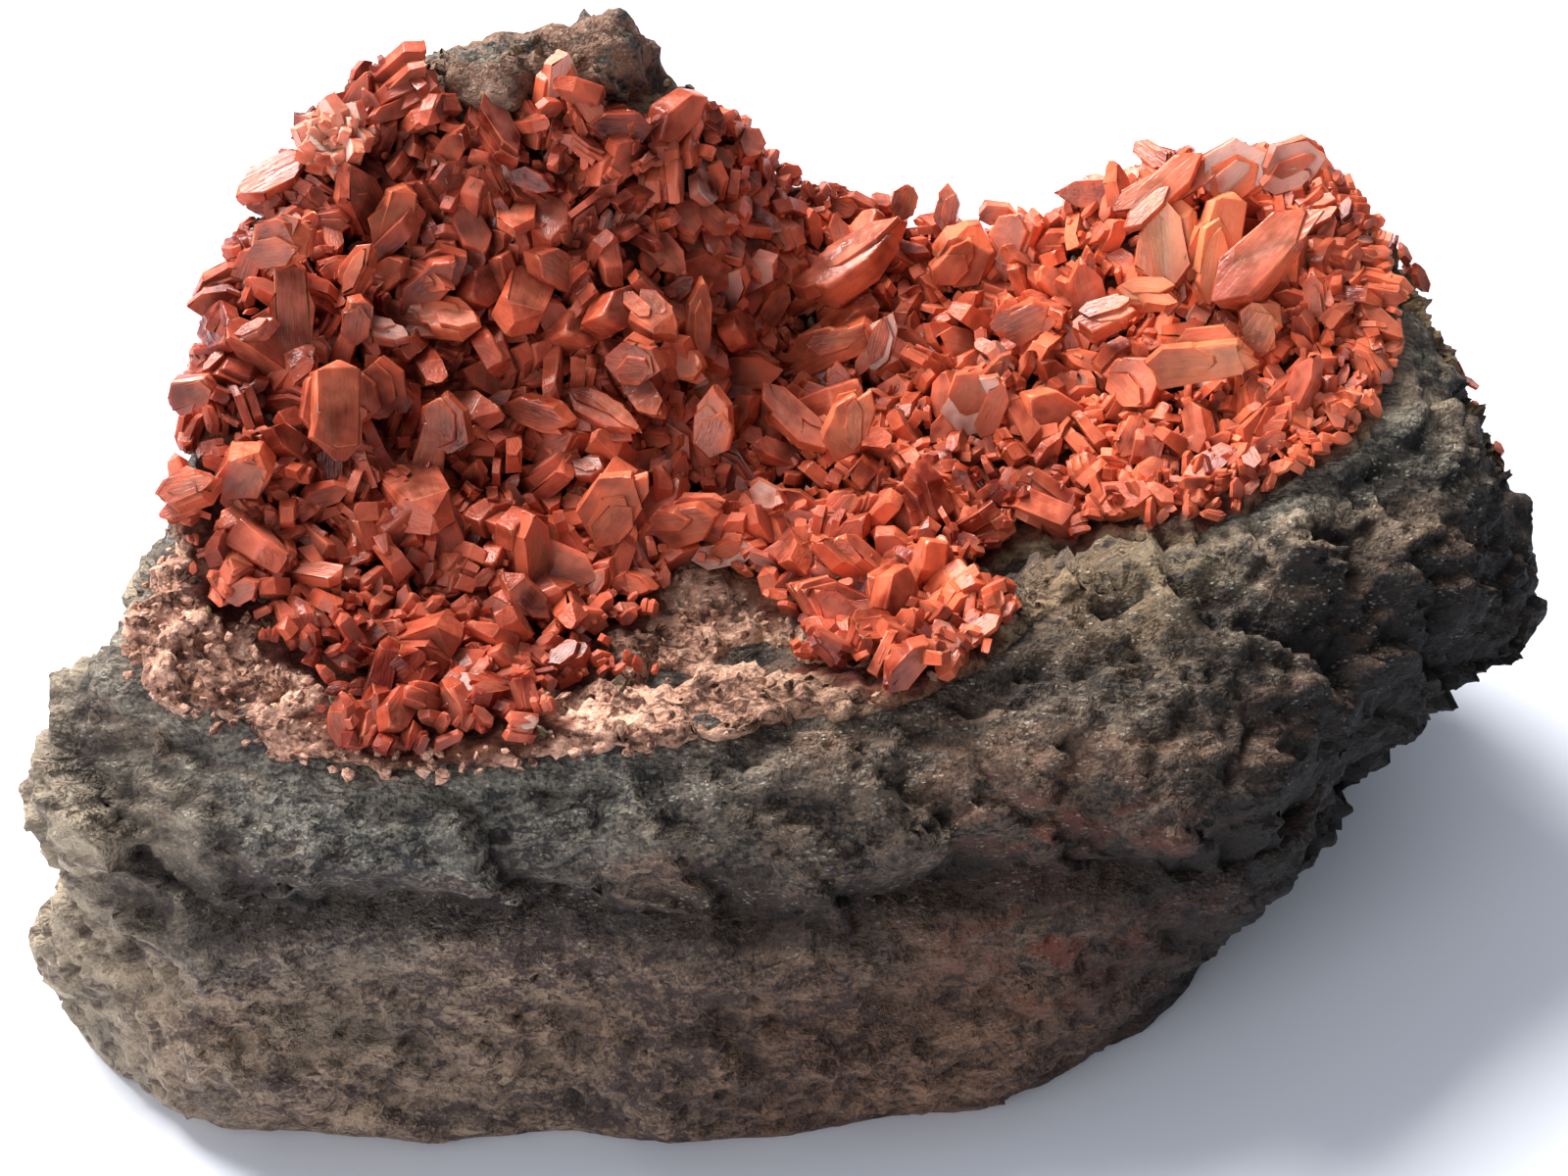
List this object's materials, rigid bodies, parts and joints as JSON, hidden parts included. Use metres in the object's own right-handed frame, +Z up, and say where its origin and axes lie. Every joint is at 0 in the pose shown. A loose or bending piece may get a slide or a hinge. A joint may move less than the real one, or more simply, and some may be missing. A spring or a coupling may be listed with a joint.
{
  "type": "heulandite specimen",
  "caption": "Crust of small brick-red coffin-shaped crystals in the open hollow of a broken dark basalt block that rests on its flat underside.",
  "frame": {"origin": "on the flat underside, below the hollow", "axes": "+X to the right of someone who faces the hollow's open front, along the longest side; +Y to the back, where the two peaks are; +Z up from the underside"},
  "size_m": [0.1149, 0.0766, 0.0604],
  "materials": {
    "basalt": "rough broken basalt, dull, grey-green and sparkling near the hollow, brown and earthy below",
    "lining_clay": "crumbly, matt, pink-brown clay and fine zeolite",
    "heulandite": "translucent brick-red crystals, glassy on the sides and pearly on the broad faces"
  },
  "bodies": {
    "root": {"basalt_matrix": "basalt", "cavity_lining": "lining_clay", "heulandite_crust": "heulandite", "side_crust": "heulandite"}
  },
  "joints": []
}
